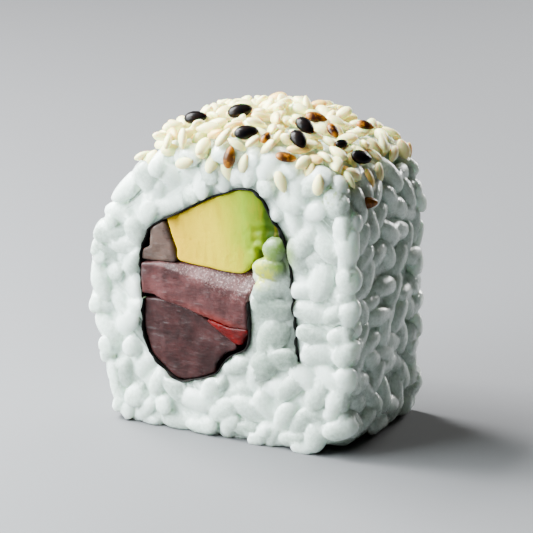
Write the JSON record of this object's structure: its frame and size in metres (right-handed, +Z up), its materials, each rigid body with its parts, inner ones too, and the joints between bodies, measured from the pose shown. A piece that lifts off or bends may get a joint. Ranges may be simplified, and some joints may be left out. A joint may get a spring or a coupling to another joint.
{
  "type": "uramaki roll",
  "caption": "Cut piece of an inside-out rice roll standing on its flat underside, with sesame on top and a nori sheet round strips of fish and avocado.",
  "frame": {"origin": "middle of the bounding box's underside, on the floor that the piece stands on", "axes": "+Z up; +Y along the roll's axis, from the cut face that the picture shows to the hidden one; +X to the right as seen when facing the shown cut face"},
  "size_m": [0.0463, 0.0261, 0.0492],
  "materials": {
    "rice": "moist and translucent",
    "nori": "dull, dark",
    "avocado": "satin",
    "fish": "wet, translucent",
    "fish_dark": "wet, translucent",
    "fish_red": "wet, glossy",
    "fish_pale": "wet, translucent"
  },
  "bodies": {
    "root": {"rice": "rice", "nori": "nori", "avocado": "avocado", "tuna_corner": "fish_pale", "tuna_upper": "fish", "tuna_edge": "fish_red", "tuna_lower": "fish_dark"}
  },
  "joints": []
}
